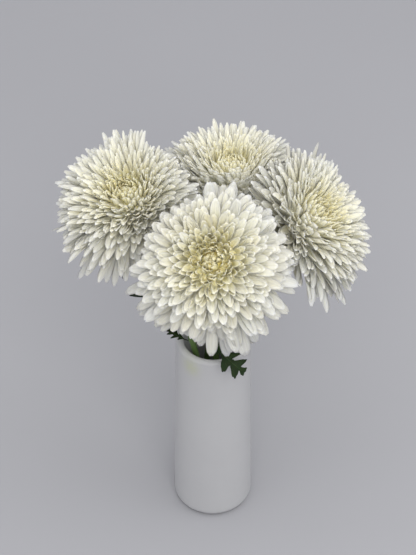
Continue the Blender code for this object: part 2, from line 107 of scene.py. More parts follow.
class Bloom:
    def __init__(self, name, d):
        self.name, self.d = name, d
        self.c = np.array(d["c"], float)
        self.a = unit(d["a"])
        self.bx = unit(np.cross((0.0, 1.0, 0.0), self.a))
        self.by = np.cross(self.a, self.bx)
        self.R, self.h, self.low = d["R"], d["h"], d["low"]
        self.press, self.trim, self.lift = np.zeros(36), np.ones(36), np.zeros(36)
        for v, strength, spread in d["lifts"]:
            p = math.atan2(np.array(v) @ self.by, np.array(v) @ self.bx)
            for i in range(36):
                dphi = (2 * math.pi * i / 36 - p + math.pi) % (2 * math.pi) - math.pi
                self.lift[i] += strength * math.exp(-(dphi / spread) ** 2)
        self.planes = []
        self.far = [(math.atan2(np.array(v) @ self.by, np.array(v) @ self.bx), g) for v, _, g in d["lifts"]]
        self.droops = []
        for v, strength, spread, extra in d["droops"]:
            v = np.array(v, float)
            self.droops.append((math.atan2(v @ self.by, v @ self.bx), strength, spread, extra))

    def around(self, table, phi):
        n = len(table)
        x = (phi / (2 * math.pi) % 1.0) * n
        i = int(math.floor(x)) % n
        f = x - math.floor(x)
        return table[i] * (1 - f) + table[(i + 1) % n] * f

    def raised(self, phi):
        return self.around(self.press, phi)

    def backness(self, phi):
        """1 on the side turned away from the front bloom, 0 elsewhere."""
        out = 0.0
        for p, g in self.far:
            dphi = (phi - p + math.pi) % (2 * math.pi) - math.pi
            out = max(out, math.exp(-(dphi / g) ** 2))
        return out

    def crowd(self, v):
        """Points near a dividing plane crowd up before it, never crossing."""
        room = KEEP_SOFT - KEEP_GAP
        for o, n in self.planes:
            d = (v - o) @ n
            near = d < KEEP_SOFT
            if near.any():
                dn = d[near]
                v[near] += n * (KEEP_GAP + room * np.exp((dn - KEEP_SOFT) / room) - dn)[:, None]
        return v

    def droop(self, phi):
        out, longer = 0.0, 0.0
        for p, strength, spread, extra in self.droops:
            dphi = (phi - p + math.pi) % (2 * math.pi) - math.pi
            g = strength * math.exp(-(dphi / spread) ** 2)
            out += g
            longer += g * extra
        return min(out, 1.0), longer

    def line(self, w, phi, s, dang=0.0, dlen=1.0, dbend=0.0, press=None, trim=None):
        """Centre line of a floret in the bloom's (radius, height) plane, with
        its tangents; s is an array from 0 at the base to 1 at the tip."""
        t = self.raised(phi) if press is None else press
        r0, z0 = 7.0 - 4.6 * w, 9.0 * w
        ang = self.low + (80.0 - self.low) * w ** 1.08 + 12.0 * float(smoothstep(0.75, 1.0, w))
        fill = 2 * (w - 0.5) if w > 0.5 else 0.0
        cut = self.around(self.trim, phi) if trim is None else trim
        dlen = dlen * (1 - (1 - cut) * max(0.0, 1 - w / 0.9))
        length = (self.R * (1 - 0.13 * w) * (1 - fill) + (self.h - z0) * fill) * dlen
        dr, longer = self.droop(phi)
        ang -= 42.0 * dr * (1 - t) * max(0.0, 1 - w / 0.45) ** 1.3
        length *= 1 + longer * (1 - t) * max(0.0, 1 - w / 0.4)
        ang += dang * (1 - 0.5 * t)
        ang += (0.8 - 0.35 * (1 - t)) * 8.0 * math.log1p(math.exp((120.0 * t - 40.0 - ang) / 8.0))
        bend = (18.0 - 34.0 * w) * (1 - 0.6 * t) + dbend
        a1, a2 = math.radians(ang + bend), math.radians(ang)
        p0 = np.array((r0, z0))
        p1 = p0 + 0.52 * length * np.array((math.cos(a1), math.sin(a1)))
        p2 = p0 + length * np.array((math.cos(a2), math.sin(a2)))
        s = s[:, None]
        q = p0 * (1 - s) ** 2 + p1 * 2 * s * (1 - s) + p2 * s * s
        tg = norm_rows((p1 - p0) * 2 * (1 - s) + (p2 - p1) * 2 * s)
        return q, tg, length


BL = {n: Bloom(n, BLOOMS[n]) for n in BLOOMS}
for one, two, part, lean in PAIRS:
    m1 = BL[one].c + BL[one].a * DOME
    m2 = BL[two].c + BL[two].a * DOME
    o = m1 + (m2 - m1) * part
    nn = unit(m2 - m1 + lean * unit((0.0, 1.0, -1.0)))
    BL[one].planes.append((o, -nn))
    BL[two].planes.append((o, nn))


def stem_curve(b, u):
    d = b.d
    foot, mouth = np.array(d["foot"]), np.array(d["mouth"])
    end = b.c - b.a * (CALYX_DEPTH + 0.5)
    split = 0.62
    rise = unit(mouth - foot)
    reach = np.linalg.norm(end - mouth)
    if u < split:
        return foot + (mouth - foot) * (u / split)
    x = (u - split) / (1 - split)
    m0, m1 = rise * reach, b.a * reach * 1.05
    return ((2 * x ** 3 - 3 * x ** 2 + 1) * mouth + (x ** 3 - 2 * x ** 2 + x) * m0
            + (-2 * x ** 3 + 3 * x ** 2) * end + (x ** 3 - x ** 2) * m1)


def core_points(b):
    """Points round the receptacle and the bent stem below it."""
    pts = [stem_curve(b, x) for x in np.linspace(0.62, 1.0, 26)]
    for z in (-7.0, -2.0, 3.0, 8.0, 14.0):
        for i in range(10):
            e = math.cos(0.628 * i) * b.bx + math.sin(0.628 * i) * b.by
            pts.append(b.c + b.a * z + e * 9.0)
    return np.array(pts)


def jar_points():
    pts = []
    for r in (JAR_R_TOP, JAR_R_TOP - JAR_WALL):
        for z in (JAR_H - 30.0, JAR_H - 20.0, JAR_H - 10.0, JAR_H):
            for i in range(48):
                pts.append((r * math.cos(math.pi * i / 24), r * math.sin(math.pi * i / 24), z))
    return np.array(pts)


def settle(blooms):
    """Raise or shorten the florets of each bloom, every ten degrees of azimuth,
    where the jar, another stem or the next bloom's space is in the way."""
    for name in ORDER:
        b = blooms[name]
        hard = np.vstack([jar_points()] + [core_points(blooms[o]) for o in ORDER if o != name])
        n = len(b.press)
        at = np.array((0.25, 0.4, 0.55, 0.7, 0.85, 1.03))
        for i in range(n):
            phi = 2 * math.pi * i / n
            e = math.cos(phi) * b.bx + math.sin(phi) * b.by
            best = (9e9, PRESS_MAX, 0.6)
            for t in np.linspace(b.lift[i], PRESS_MAX, 15):
                for cut in (1.0, 0.92, 0.84, 0.76, 0.68, 0.6):
                    cost = (3.0 if name == "front" else 1.0) * t * t + STIFF[name] * (1 - cut)
                    if cost >= best[0]:
                        continue
                    q = np.vstack([b.line(w, phi, at, press=t, trim=cut)[0] for w in (0.0, 0.27, 0.52)])
                    cand = b.c + q[:, :1] * e + q[:, 1:] * b.a
                    gap = np.linalg.norm(cand[:, None, :] - hard[None, :, :], axis=2)
                    cost += 3.0 * max(0.0, CLEAR_HARD - np.min(gap))
                    for o, nn in b.planes:
                        over = max(0.0, CLEAR - float(np.min((cand - o) @ nn)))
                        cost += 0.02 * over + 0.003 * over * over
                    if cost < best[0]:
                        best = (cost, t, cut)
            b.press[i], b.trim[i] = best[1], best[2]
        b.press = np.array([max(b.press[(i + j) % n] - FADE * max(0, abs(j) - 1)
                                for j in range(-12, 13)) for i in range(n)])
        b.trim = np.array([min(b.trim[(i + j) % n] for j in (-1, 0, 1)) for i in range(n)])


settle(BL)


# =====================================================================
# mesh helpers
# =====================================================================
def new_object(name, verts, faces, attrs, mat):
    me = bpy.data.meshes.new(name)
    verts = np.asarray(verts, np.float64) * MM
    quads = [f for f in faces]
    me.from_pydata(verts.tolist(), [], quads)
    me.update()
    for key, values in attrs.items():
        at = me.attributes.new(key, "FLOAT", "POINT")
        at.data.foreach_set("value", np.asarray(values, np.float32))
    me.polygons.foreach_set("use_smooth", [True] * len(me.polygons))
    ob = bpy.data.objects.new(name, me)
    bpy.context.scene.collection.objects.link(ob)
    me.materials.append(mat)
    return ob


class Builder:
    """Gathers many closed blades into one mesh."""
    def __init__(self, keys):
        self.v, self.f, self.n = [], [], 0
        self.at = {k: [] for k in keys}

    def add(self, verts, faces, **attrs):
        self.v.append(verts)
        self.f.append(np.asarray(faces) + self.n)
        self.n += len(verts)
        for k in self.at:
            a = attrs[k]
            self.at[k].append(np.full(len(verts), a) if np.isscalar(a) else np.asarray(a, float))

    def object(self, name, mat):
        v = np.vstack(self.v)
        faces = []
        for f in self.f:
            faces.extend(f.tolist())
        attrs = {k: np.concatenate(x) for k, x in self.at.items()}
        return new_object(name, v, faces, attrs, mat)


def blade_faces(nv, nu):
    """Faces of a closed blade: top grid nv x nu, then the bottom's inner
    columns nv x (nu-2); the two side edges are shared."""
    top = lambda i, j: i * nu + j
    off = nv * nu

    def bot(i, j):
        if j == 0 or j == nu - 1:
            return top(i, j)
        return off + i * (nu - 2) + (j - 1)
    faces = []
    for i in range(nv - 1):
        for j in range(nu - 1):
            faces.append((top(i, j), top(i, j + 1), top(i + 1, j + 1), top(i + 1, j)))
            faces.append((bot(i, j), bot(i + 1, j), bot(i + 1, j + 1), bot(i, j + 1)))
    for i, flip in ((0, False), (nv - 1, True)):
        ring = [top(i, j) for j in range(nu)] + [bot(i, j) for j in range(nu - 2, 0, -1)]
        # end caps as fans of quads between the two skins
        for j in range(nu - 1):
            a, b_, c, d_ = top(i, j), top(i, j + 1), bot(i, j + 1), bot(i, j)
            quad = []
            for x in (a, b_, c, d_):
                if x not in quad:
                    quad.append(x)
            if len(quad) >= 3:
                faces.append(tuple(quad) if flip else tuple(reversed(quad)))
    return faces


FACE_CACHE = {}


def blade(builder, q, ex, ez, ey, tg, half, chan, thick, tipcurve, notch, s, nu,
          twist=0.0, groove=0.0, **attrs):
    """One floret.  q: centre points (nv,3); ex: sideways unit vectors;
    ey: normals; half: half width per row; chan: channel depth per row."""
    nv = len(q)
    u = np.linspace(-1, 1, nu)
    U = u[None, :]
    H = half[:, None]
    side = U * H
    rise = chan[:, None] * (np.abs(U) ** 1.7) - groove * H * 0.16 * np.cos(U * math.pi * 2.5) * np.minimum(1, H / 3.0)
    # rounded, slightly notched end: the last rows move forward in the middle
    fwd = tipcurve[:, None] * (1 - U ** 2) - notch[:, None] * np.exp(-(U / 0.28) ** 2)
    ct, st = math.cos(twist), math.sin(twist)
    sx = ex * ct + ey * st
    sy = ey * ct - ex * st
    top = (q[:, None, :] + side[..., None] * sx[:, None, :] + rise[..., None] * sy[:, None, :]
           + fwd[..., None] * tg[:, None, :])
    body = (thick[:, None] * (1 - U ** 2) ** 0.6)[:, 1:-1]
    bot = top[:, 1:-1] - body[..., None] * sy[:, None, :]
    verts = np.vstack((top.reshape(-1, 3), bot.reshape(-1, 3)))
    key = (nv, nu)
    if key not in FACE_CACHE:
        FACE_CACHE[key] = blade_faces(nv, nu)
    S = np.repeat(s, nu)
    Uu = np.tile(u, nv)
    Sb = np.repeat(s, nu - 2)
    Ub = np.tile(u[1:-1], nv)
    faces = FACE_CACHE[key]
    builder.f.append(faces)
    builder.v.append(verts)
    n = len(verts)
    vals = dict(attrs, fs=np.concatenate((S, Sb)), fu=np.concatenate((Uu, Ub)))
    for k in builder.at:
        a = vals[k]
        builder.at[k].append(np.full(n, a) if np.isscalar(a) else a)
    builder.n += n


class BladeBuilder(Builder):
    def object(self, name, mat):
        faces, n = [], 0
        for v, f in zip(self.v, self.f):
            faces.extend([tuple(x + n for x in q) for q in f])
            n += len(v)
        attrs = {k: np.concatenate(x) for k, x in self.at.items()}
        return new_object(name, np.vstack(self.v), faces, attrs, mat)


# =====================================================================
# node material helpers
# =====================================================================
class Mat:
    def __init__(self, name):
        self.m = bpy.data.materials.new(name)
        self.m.use_nodes = True
        self.nt = self.m.node_tree
        self.bsdf = self.nt.nodes["Principled BSDF"]

    def node(self, kind, **props):
        n = self.nt.nodes.new(kind)
        for k, v in props.items():
            setattr(n, k, v)
        return n

    def attr(self, name):
        n = self.node("ShaderNodeAttribute", attribute_name=name)
        return n.outputs["Fac"]

    def math(self, op, a, b=None, clamp=False):
        n = self.node("ShaderNodeMath", operation=op, use_clamp=clamp)
        for i, x in enumerate((a, b)):
            if x is None:
                continue
            if isinstance(x, (int, float)):
                n.inputs[i].default_value = x
            else:
                self.nt.links.new(x, n.inputs[i])
        return n.outputs[0]

    def ramp(self, fac, stops, interp="EASE"):
        n = self.node("ShaderNodeValToRGB")
        cr = n.color_ramp
        cr.interpolation = interp
        while len(cr.elements) < len(stops):
            cr.elements.new(0.5)
        for e, (p, c) in zip(cr.elements, stops):
            e.position = p
            e.color = (*c, 1.0)
        self.nt.links.new(fac, n.inputs[0])
        return n.outputs[0]

    def mix(self, fac, a, b, blend="MIX"):
        n = self.node("ShaderNodeMix", data_type="RGBA", blend_type=blend)
        for key, x in ((0, fac), (6, a), (7, b)):
            if isinstance(x, (int, float)):
                n.inputs[key].default_value = x
            elif isinstance(x, tuple):
                n.inputs[key].default_value = (*x, 1.0)
            else:
                self.nt.links.new(x, n.inputs[key])
        return n.outputs[2]

    def coords(self, *scalars, scale=(1, 1, 1)):
        n = self.node("ShaderNodeCombineXYZ")
        for i, x in enumerate(scalars):
            if isinstance(x, (int, float)):
                n.inputs[i].default_value = x
            else:
                self.nt.links.new(self.math("MULTIPLY", x, scale[i]), n.inputs[i])
        return n.outputs[0]

    def noise(self, vec, scale, detail=3.0, rough=0.5):
        n = self.node("ShaderNodeTexNoise")
        n.inputs["Scale"].default_value = scale
        n.inputs["Detail"].default_value = detail
        n.inputs["Roughness"].default_value = rough
        self.nt.links.new(vec, n.inputs["Vector"])
        return n.outputs["Fac"]

    def bump(self, height, strength, distance):
        n = self.node("ShaderNodeBump")
        n.inputs["Strength"].default_value = strength
        n.inputs["Distance"].default_value = distance
        self.nt.links.new(height, n.inputs["Height"])
        self.nt.links.new(n.outputs[0], self.bsdf.inputs["Normal"])

    def set(self, **kw):
        for k, v in kw.items():
            self.bsdf.inputs[k.replace("_", " ")].default_value = v

    def link(self, out, name):
        self.nt.links.new(out, self.bsdf.inputs[name])


def floret_material():
    """White floret: yellow at its base, ivory channel, a pale rim and tip painted as highlight,
    painted grey shade on the outermost florets, fine long veins.  fs base-tip, fu across, fw ring, fr random."""
    m = Mat("floret_white")
    s, u, w, r = (m.attr(k) for k in ("fs", "fu", "fw", "fr"))
    veins = m.noise(m.coords(u, s, r, scale=(7.0, 1.1, 37.0)), 1.0, 2.0, 0.55)
    # how yellow: more towards the bloom's centre and each floret's base
    deep = m.math("SUBTRACT", 1.0, s, True)
    a = m.math("MULTIPLY", m.math("POWER", w, 2.6), 0.66)
    # the outermost florets get no ivory lift, so their tips keep the grey low end of the ramp: painted shade on the
    # outer ring
    ivory = m.math("SUBTRACT", 1.0, m.math("EXPONENT", m.math("MULTIPLY", w, -8.3)))
    a = m.math("ADD", a, m.math("MULTIPLY", ivory, 0.17))
    b_ = m.math("MULTIPLY", m.math("POWER", deep, 1.25), 0.60)
    y = m.math("ADD", a, b_)
    y = m.math("ADD", y, m.math("MULTIPLY", m.math("SUBTRACT", veins, 0.5), 0.16))
    # rims of the florets stay white
    rim = m.math("POWER", m.math("ABSOLUTE", u), 2.5)
    y = m.math("SUBTRACT", y, m.math("MULTIPLY", rim, 0.10), True)
    # the two lowest stops are grey: painted shade for the outermost florets
    col = m.ramp(y, [(0.0, (0.64, 0.635, 0.59)), (0.10, (0.74, 0.73, 0.65)),
                     (0.22, (0.91, 0.895, 0.775)), (0.42, (0.985, 0.955, 0.765)),
                     (0.66, (0.985, 0.92, 0.56)), (1.0, (0.955, 0.81, 0.30))], "LINEAR")
    # painted highlight: a thin pale rim down both sides and round the tip, strongest on the outer florets, so the
    # channel reads darker; darker streaky veins
    painted_rim_highlight = m.math("POWER", m.math("ABSOLUTE", u), 5.0)
    end = m.math("MULTIPLY", m.math("SUBTRACT", s, 0.95, True), 20.0, True)
    painted_rim_highlight = m.math("MAXIMUM", painted_rim_highlight, end)
    streak = m.noise(m.coords(u, s, r, scale=(13.0, 0.6, 61.0)), 1.0, 1.0, 0.4)
    dark = m.math("ADD", m.math("MULTIPLY", m.math("SUBTRACT", streak, 0.5), 0.32), 0.97, True)
    shade = m.node("ShaderNodeCombineColor")
    for i in range(3):
        m.nt.links.new(dark, shade.inputs[i])
    col = m.mix(1.0, col, shade.outputs[0], "MULTIPLY")
    painted_rim_highlight = m.math("MULTIPLY", painted_rim_highlight, m.math("SUBTRACT", 0.60, m.math("MULTIPLY", m.math("POWER", w, 2.0), 0.45)))
    # mix in the pale rim colour, a painted highlight
    col = m.mix(painted_rim_highlight, col, (0.93, 0.92, 0.865))
    tint = m.ramp(r, [(0.0, (0.965, 0.975, 1.0)), (0.5, (1, 1, 1)), (1.0, (1.0, 0.985, 0.94))], "LINEAR")
    col = m.mix(1.0, col, tint, "MULTIPLY")
    m.link(col, "Base Color")
    rough = m.math("ADD", m.math("MULTIPLY", veins, 0.22), 0.42)
    m.link(rough, "Roughness")
    h = m.math("ADD", m.math("MULTIPLY", veins, 0.8),
               m.math("MULTIPLY", m.math("COSINE", m.math("MULTIPLY", u, 11.0)), 0.35))
    m.bump(h, 0.35, 0.0004)
    m.set(Subsurface_Weight=0.35, Subsurface_Scale=0.004, Specular_IOR_Level=0.35)
    m.bsdf.inputs["Subsurface Radius"].default_value = (1.0, 0.9, 0.6)
    m.bsdf.inputs["Sheen Weight"].default_value = 0.05
    return m.m


def leaf_material():
    m = Mat("leaf_green")
    s, u, r = (m.attr(k) for k in ("fs", "fu", "fr"))
    geo = m.node("ShaderNodeNewGeometry")
    tc = m.node("ShaderNodeTexCoord")
    n1 = m.noise(tc.outputs["Object"], 260.0, 4.0, 0.6)
    n2 = m.noise(tc.outputs["Object"], 1400.0, 3.0, 0.6)
    mid = m.math("SUBTRACT", 1.0, m.math("MULTIPLY", m.math("ABSOLUTE", u), 14.0), True)
    lat = m.math("ABSOLUTE", m.math("SINE", m.math("MULTIPLY", m.math("SUBTRACT", s, m.math("MULTIPLY", m.math("ABSOLUTE", u), 0.22)), 23.0)))
    lat = m.math("MULTIPLY", m.math("SUBTRACT", 1.0, m.math("MULTIPLY", lat, 7.0), True),
                 m.math("SUBTRACT", 1.0, m.math("ABSOLUTE", u), True))
    vein = m.math("MAXIMUM", mid, lat)
    base = m.ramp(n1, [(0.25, (0.006, 0.016, 0.003)), (0.75, (0.016, 0.040, 0.007))], "LINEAR")
    col = m.mix(m.math("MULTIPLY", vein, 0.55), base, (0.05, 0.09, 0.028))
    m.link(col, "Base Color")
    m.link(m.math("ADD", m.math("MULTIPLY", n2, 0.25), 0.42), "Roughness")
    h = m.math("SUBTRACT", m.math("MULTIPLY", n2, 0.35), m.math("MULTIPLY", vein, 1.0))
    m.bump(h, 0.6, 0.0005)
    m.set(Specular_IOR_Level=0.2, Subsurface_Weight=0.05, Subsurface_Scale=0.002)
    return m.m


def stem_material():
    m = Mat("stem_green")
    s, u = m.attr("fs"), m.attr("fu")
    tc = m.node("ShaderNodeTexCoord")
    streak = m.noise(m.coords(u, s, 0.0, scale=(26.0, 6.0, 1.0)), 1.0, 4.0, 0.6)
    fine = m.noise(tc.outputs["Object"], 1800.0, 3.0, 0.6)
    col = m.ramp(streak, [(0.25, (0.045, 0.085, 0.02)), (0.55, (0.10, 0.165, 0.045)), (0.85, (0.18, 0.235, 0.085))], "LINEAR")
    m.link(col, "Base Color")
    m.link(m.math("ADD", m.math("MULTIPLY", fine, 0.3), 0.40), "Roughness")
    m.bump(m.math("ADD", streak, m.math("MULTIPLY", fine, 0.3)), 0.5, 0.0003)
    m.set(Specular_IOR_Level=0.35)
    return m.m


def calyx_material():
    m = Mat("calyx_green")
    s, u, r = (m.attr(k) for k in ("fs", "fu", "fr"))
    streak = m.noise(m.coords(u, s, r, scale=(5.0, 2.0, 31.0)), 1.0, 3.0, 0.6)
    y = m.math("ADD", m.math("MULTIPLY", s, 0.5), m.math("MULTIPLY", streak, 0.5))
    col = m.ramp(y, [(0.2, (0.09, 0.16, 0.04)), (0.6, (0.20, 0.30, 0.09)), (0.95, (0.38, 0.42, 0.20))], "LINEAR")
    m.link(col, "Base Color")
    m.link(m.math("ADD", m.math("MULTIPLY", streak, 0.2), 0.5), "Roughness")
    m.bump(streak, 0.4, 0.0003)
    m.set(Specular_IOR_Level=0.3)
    return m.m


def jar_material():
    """Matt off-white glaze with a very fine eggshell grain, an unglazed underside
    and one pale plant stain at the rim."""
    m = Mat("jar_ceramic")
    tc = m.node("ShaderNodeTexCoord")
    obj = tc.outputs["Object"]
    sep = m.node("ShaderNodeSeparateXYZ")
    m.nt.links.new(obj, sep.inputs[0])
    big = m.noise(obj, 18.0, 3.0, 0.55)
    fine = m.noise(obj, 1500.0, 4.0, 0.65)
    mott = m.noise(obj, 140.0, 4.0, 0.6)
    base = m.ramp(big, [(0.3, (0.505, 0.505, 0.512)), (0.7, (0.526, 0.526, 0.532))], "LINEAR")
    col = m.mix(m.math("MULTIPLY", m.math("SUBTRACT", mott, 0.5, True), 0.25), base, (0.61, 0.605, 0.595))
    # stain: a soft spot on the front left, just below the lip
    dx = m.math("MULTIPLY", m.math("SUBTRACT", sep.outputs[0], -0.0175), 170.0)
    dz = m.math("MULTIPLY", m.math("SUBTRACT", sep.outputs[2], 0.1785), 120.0)
    d2 = m.math("ADD", m.math("MULTIPLY", dx, dx), m.math("MULTIPLY", dz, dz))
    spot = m.math("EXPONENT", m.math("MULTIPLY", d2, -1.0))
    front = m.math("LESS_THAN", sep.outputs[1], -0.012)
    spot = m.math("MULTIPLY", m.math("MULTIPLY", spot, front), m.math("MULTIPLY", m.noise(obj, 420.0, 3.0, 0.6), 0.95), True)
    col = m.mix(spot, col, (0.50, 0.53, 0.30))
    # unglazed foot
    foot = m.math("LESS_THAN", sep.outputs[2], 0.0009)
    speck = m.ramp(m.noise(obj, 2600.0, 2.0, 0.7), [(0.3, (0.52, 0.50, 0.47)), (0.7, (0.62, 0.60, 0.57))], "LINEAR")
    col = m.mix(foot, col, speck)
    m.link(col, "Base Color")
    m.link(m.math("ADD", m.math("ADD", m.math("MULTIPLY", fine, 0.10), m.math("MULTIPLY", mott, 0.08)),
                  m.math("ADD", m.math("MULTIPLY", foot, 0.25), 0.42)), "Roughness")
    m.bump(m.math("ADD", fine, m.math("MULTIPLY", mott, 0.8)), 0.12, 0.0003)
    m.set(Specular_IOR_Level=0.4, Subsurface_Weight=0.0)
    return m.m


# =====================================================================
# florets
# =====================================================================
GOLD = math.pi * (3 - math.sqrt(5))
BANDS = (("outer", 0.0, 0.17), ("middle", 0.17, 0.40), ("upper", 0.40, 0.64),
         ("inner", 0.64, 0.86), ("heart", 0.86, 1.01))


def interp(x, xs, ys):
    return float(np.interp(x, xs, ys))


def build_florets(b, mat):
    rng = np.random.RandomState(b.d["seed"])
    keys = ("fs", "fu", "fw", "fr")
    bands = {n: BladeBuilder(keys) for n, _, _ in BANDS}
    total = int(540 * b.d["n"])
    k = b.R / 64.0
    for i in range(total):
        x = (i + 0.5) / total
        w = min(0.995, x ** 0.84)
        phi = i * GOLD + rng.uniform(-0.09, 0.09)
        dang = rng.normal(0, 5.6) * (1 - 0.6 * w)
        dlen = 1 + rng.normal(0, 0.055) * (1 - 0.4 * w) - 0.05 * (w < 0.03)
        dbend = rng.normal(0, 8.0) * (1 - 0.8 * w)
        far = b.backness(phi)
        if w < 0.10:
            dlen += rng.normal(0, 0.07)
            dang += rng.normal(0, 4.0)
        for d, amount in b.d.get("shorts", ()):
            near = math.cos(phi) * (b.bx @ unit(d)) + math.sin(phi) * (b.by @ unit(d))
            dlen -= amount * float(smoothstep(0.88, 0.98, near)) * (w < 0.40)
        rr = rng.uniform()
        band = next(n for n, lo, hi in BANDS if lo <= w < hi)
        nv, nu = (15, 7) if w < 0.64 else (12, 5)
        s0 = interp(w, (0, 0.3, 0.6, 0.85, 1.0), (0.0, 0.10, 0.24, 0.38, 0.50))
        s = s0 + (1 - s0) * np.linspace(0, 1, nv) ** 0.85
        q2, t2, length = b.line(w, phi, s, dang, dlen, dbend)
        n2 = np.stack((-t2[:, 1], t2[:, 0]), 1)
        # tips curl: outer ones a little either way, inner ones hook inwards
        curl = interp(w, (0, 0.12, 0.35, 0.6, 0.8, 0.9, 1.0), (0.4, 0.9, 0.2, -0.4, 0.8, 2.6, 3.0)) + rng.normal(0, 1.7)
        if w < 0.10 and rng.uniform() < 0.45:
            curl = -rng.uniform(0.5, 3.5)
        c = np.clip((s - 0.62) / 0.38, 0, 1) ** 2
        q2 = q2 + n2 * (curl * k * c)[:, None]
        q2 = q2 - t2 * (abs(curl) * 0.35 * k * c)[:, None]
        tg2 = norm_rows(np.gradient(q2, axis=0))
        n2 = np.stack((-tg2[:, 1], tg2[:, 0]), 1)
        e = math.cos(phi) * b.bx + math.sin(phi) * b.by
        f = -math.sin(phi) * b.bx + math.cos(phi) * b.by
        q = b.c + q2[:, :1] * e + q2[:, 1:] * b.a
        tg = tg2[:, :1] * e + tg2[:, 1:] * b.a
        ey = n2[:, :1] * e + n2[:, 1:] * b.a
        ex = np.repeat(f[None, :], nv, 0)
        # sideways sway
        sway = rng.normal(0, 2.2) * (1 - 0.5 * w)
        q = q + ex * (sway * s ** 2)[:, None]
        # width: narrow claw, broad towards the end
        wmax = interp(w, (0, 0.15, 0.35, 0.6, 0.8, 1.0), (5.3, 5.3, 5.0, 4.3, 3.4, 2.1)) * k ** 0.6
        wmax *= (1 + rng.normal(0, 0.09)) * (1 - 0.38 * far) * b.d["slim"]
        claw = interp(w, (0, 0.5, 1.0), (0.30, 0.42, 0.62))
        prof = claw + (1 - claw) * smoothstep(0.08, 0.66, s)
        end = np.sqrt(np.clip(1 - ((s - 0.80) / 0.205) ** 2, 0.0, 1)) if True else 1
        end = np.where(s < 0.80, 1.0, end)
        half = wmax * prof * (0.13 + 0.87 * end)
        # channel: florets are rolled at the base and open out
        roll = interp(w, (0, 0.08, 0.2, 0.5, 0.8, 1.0), (0.34, 0.52, 0.62, 0.70, 0.75, 0.9)) * rng.uniform(0.6, 1.35)
        chan = half * (roll * (1.12 - 0.22 * smoothstep(0.35, 0.95, s)))
        if w < 0.12 and curl < 0:
            chan = chan * 0.35
        thick = interp(w, (0, 0.5, 1.0), (0.42, 0.46, 0.5)) * (1.25 - 0.55 * s)
        tipcurve = half * 0.0 + wmax * 0.10 * smoothstep(0.90, 1.0, s)
        notch = wmax * (0.22 if rng.uniform() < 0.45 else 0.06) * smoothstep(0.95, 1.0, s)
        twist = rng.normal(0, 0.24) * (1 - 0.3 * w)
        blade(bands[band], q, ex, None, ey, tg, half, chan, thick, tipcurve, notch, s, nu,
              twist=twist, groove=0.55 if w < 0.5 else 0.0, fw=w, fr=rr)
    # the tight bud under the innermost florets
    hb = bands["heart"]
    rows, seg = ((0.01, b.h - 24), (3.5, b.h - 23), (6.5, b.h - 17), (8.0, b.h - 9.0), (6.6, b.h - 4.4),
                 (3.4, b.h - 2.4), (0.01, b.h - 1.9)), 20
    verts = np.array([b.c + b.a * z + r * (math.cos(2 * math.pi * j / seg) * b.bx + math.sin(2 * math.pi * j / seg) * b.by)
                      for r, z in rows for j in range(seg)])
    faces = [(i * seg + j, i * seg + (j + 1) % seg, (i + 1) * seg + (j + 1) % seg, (i + 1) * seg + j)
             for i in range(len(rows) - 1) for j in range(seg)]
    faces.append(tuple(range(seg))[::-1])
    faces.append(tuple((len(rows) - 1) * seg + j for j in range(seg)))
    hb.f.append(faces)
    hb.v.append(verts)
    for key, val in (("fs", 0.45), ("fu", 0.3), ("fw", 1.0), ("fr", 0.6)):
        hb.at[key].append(np.full(len(verts), val))
    # crowded lower parts of the inner florets, seen between their tips
    seg, ws = 132, np.linspace(0.34, 0.985, 22)
    outer, inner, fw = [], [], []
    for iw, wv in enumerate(ws):
        depth = interp(wv, (0.34, 0.6, 0.85, 1.0), (0.48, 0.60, 0.68, 0.68))
        for j in range(seg):
            phi = 2 * math.pi * j / seg
            ridge = 0.022 * math.cos(phi * (44 if wv < 0.7 else 22)) + 0.012 * math.sin(phi * 17 + wv * 40)
            q2, _, _ = b.line(wv, phi, np.array([depth - 0.16, depth + ridge]))
            e = math.cos(phi) * b.bx + math.sin(phi) * b.by
            inner.append(b.c + e * q2[0, 0] + b.a * q2[0, 1])
            outer.append(b.c + e * q2[1, 0] + b.a * q2[1, 1])
            fw.append(wv)
    m, nw = len(outer), len(ws)
    faces = []
    for i in range(nw - 1):
        for j in range(seg):
            q = (j + 1) % seg
            p0, p1, p2, p3 = i * seg + j, i * seg + q, (i + 1) * seg + q, (i + 1) * seg + j
            faces.append((p0, p1, p2, p3))
            faces.append((p0 + m, p3 + m, p2 + m, p1 + m))
    for j in range(seg):
        q = (j + 1) % seg
        faces.append((j, j + m, q + m, q))
    faces.append(tuple((nw - 1) * seg + j for j in range(seg)))
    faces.append(tuple(m + (nw - 1) * seg + j for j in range(seg))[::-1])
    ub = bands["upper"]
    ub.f.append(faces)
    ub.v.append(np.array(outer + inner))
    ub.at["fw"].append(np.array(fw * 2))
    ub.at["fs"].append(np.full(2 * m, 0.80))
    # fu of 1 on every third column: there the floret material paints its pale rim highlight as stripes
    ub.at["fu"].append(np.tile(np.abs(np.cos(np.arange(seg) * math.pi / 3)), 2 * nw))
    ub.at["fr"].append(np.full(2 * m, 0.5))
    made = []
    for n, _, _ in BANDS:
        bands[n].v = [b.crowd(v) for v in bands[n].v]
        ob = bands[n].object("florets_%s_%s" % (n, b.name) if n != "heart" else "floret_heart_" + b.name, mat)
        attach(ob, "root")
        if n == "heart":
            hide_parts("heart_" + b.name)
        else:
            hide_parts("petals_%s_%s" % (n, b.name))
        made.append(ob)
    return made


